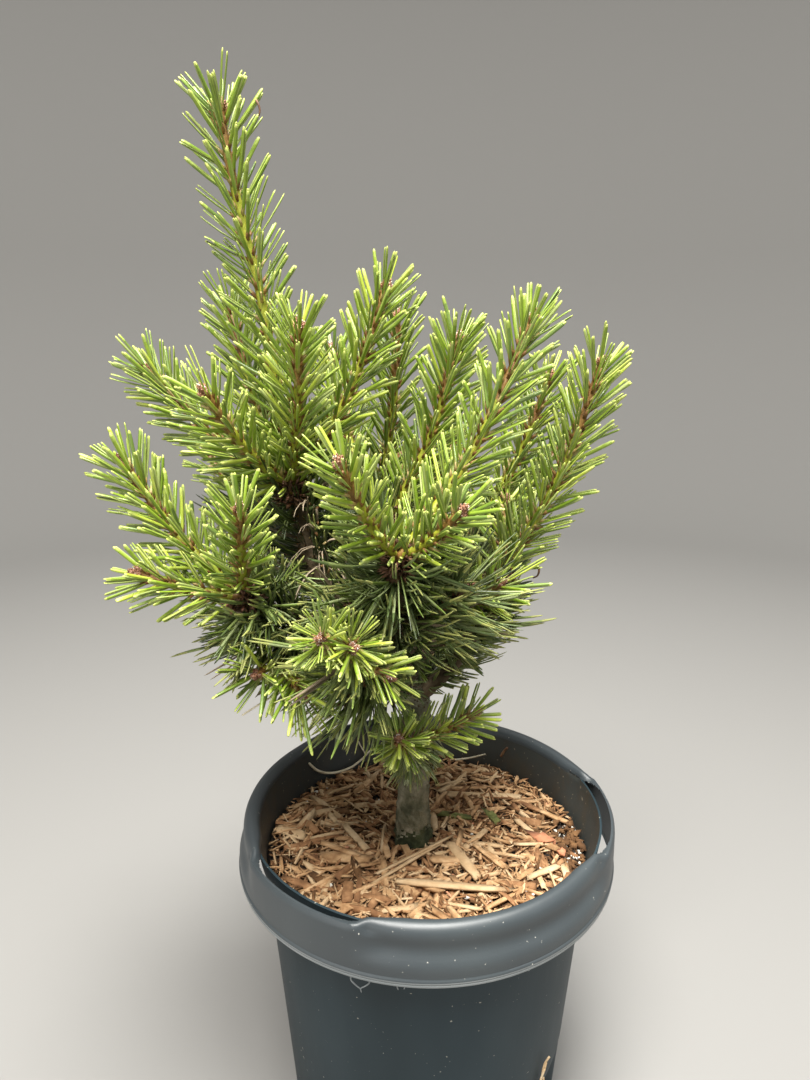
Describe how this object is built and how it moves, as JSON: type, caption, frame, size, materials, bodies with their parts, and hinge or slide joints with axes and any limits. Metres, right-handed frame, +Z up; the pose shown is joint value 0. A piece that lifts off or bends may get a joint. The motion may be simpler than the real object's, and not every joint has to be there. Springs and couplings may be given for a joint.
{
  "type": "potted watereri scots pine",
  "caption": "Young dwarf scots pine with a tall leaning leader and candle-like needle shoots, growing in a round nursery pot with a rolled rim and grip slots.",
  "frame": {"origin": "centre of the pot's flat underside, on the floor", "axes": "+Z up along the pot's axis; +Y away from the viewer of the picture; +X to the viewer's right"},
  "size_m": [0.3225, 0.3053, 0.7008],
  "materials": {
    "pot_plastic": "slate grey blow-moulded plastic, satin, slightly dusty",
    "potting_mix": "rough tan and brown wood-chip mulch over dark potting mix",
    "bark": "rough grey-green bark on the trunk, brown and scaly on the boughs",
    "young_needles": "fresh green needles with yellow-green tips",
    "old_needles": "dark blue-green older needles"
  },
  "bodies": {
    "root": {"bough_back": "bark", "bough_back_left": "bark", "bough_back_right": "bark", "bough_centre": "bark", "bough_front": "bark", "bough_left": "bark", "bough_rear": "bark", "bough_right": "bark", "needles_back_left_low": "young_needles", "needles_back_left_out": "young_needles", "needles_back_left_up": "young_needles", "needles_back_mid": "young_needles", "needles_back_right_low": "young_needles", "needles_back_right_out": "young_needles", "needles_back_up": "young_needles", "needles_centre_up": "young_needles", "needles_front_left": "young_needles", "needles_front_low": "young_needles", "needles_front_low_right": "young_needles", "needles_front_right": "young_needles", "needles_front_up": "young_needles", "needles_leader": "young_needles", "needles_left_front": "young_needles", "needles_left_low": "young_needles", "needles_left_low_front": "young_needles", "needles_left_out": "young_needles", "needles_left_up": "young_needles", "needles_low_front": "young_needles", "needles_low_right": "young_needles", "needles_rear_left": "young_needles", "needles_rear_low": "young_needles", "needles_rear_mid": "young_needles", "needles_rear_right": "young_needles", "needles_right_back_up": "young_needles", "needles_right_front": "young_needles", "needles_right_inner": "young_needles", "needles_right_up": "young_needles", "needles_top_back_left": "young_needles", "needles_top_front": "young_needles", "needles_top_front_left": "young_needles", "needles_top_left": "young_needles", "needles_top_right": "young_needles", "old_needles_back": "old_needles", "old_needles_back_left": "old_needles", "old_needles_centre": "old_needles", "old_needles_front": "old_needles", "old_needles_left": "old_needles", "old_needles_low": "old_needles", "old_needles_right": "old_needles", "old_needles_tuft": "old_needles", "pot_body": "pot_plastic", "pot_rim": "pot_plastic", "potting_mix": "potting_mix", "trunk": "bark", "twig_front": "bark", "twig_left": "bark", "twig_low": "bark"}
  },
  "joints": []
}
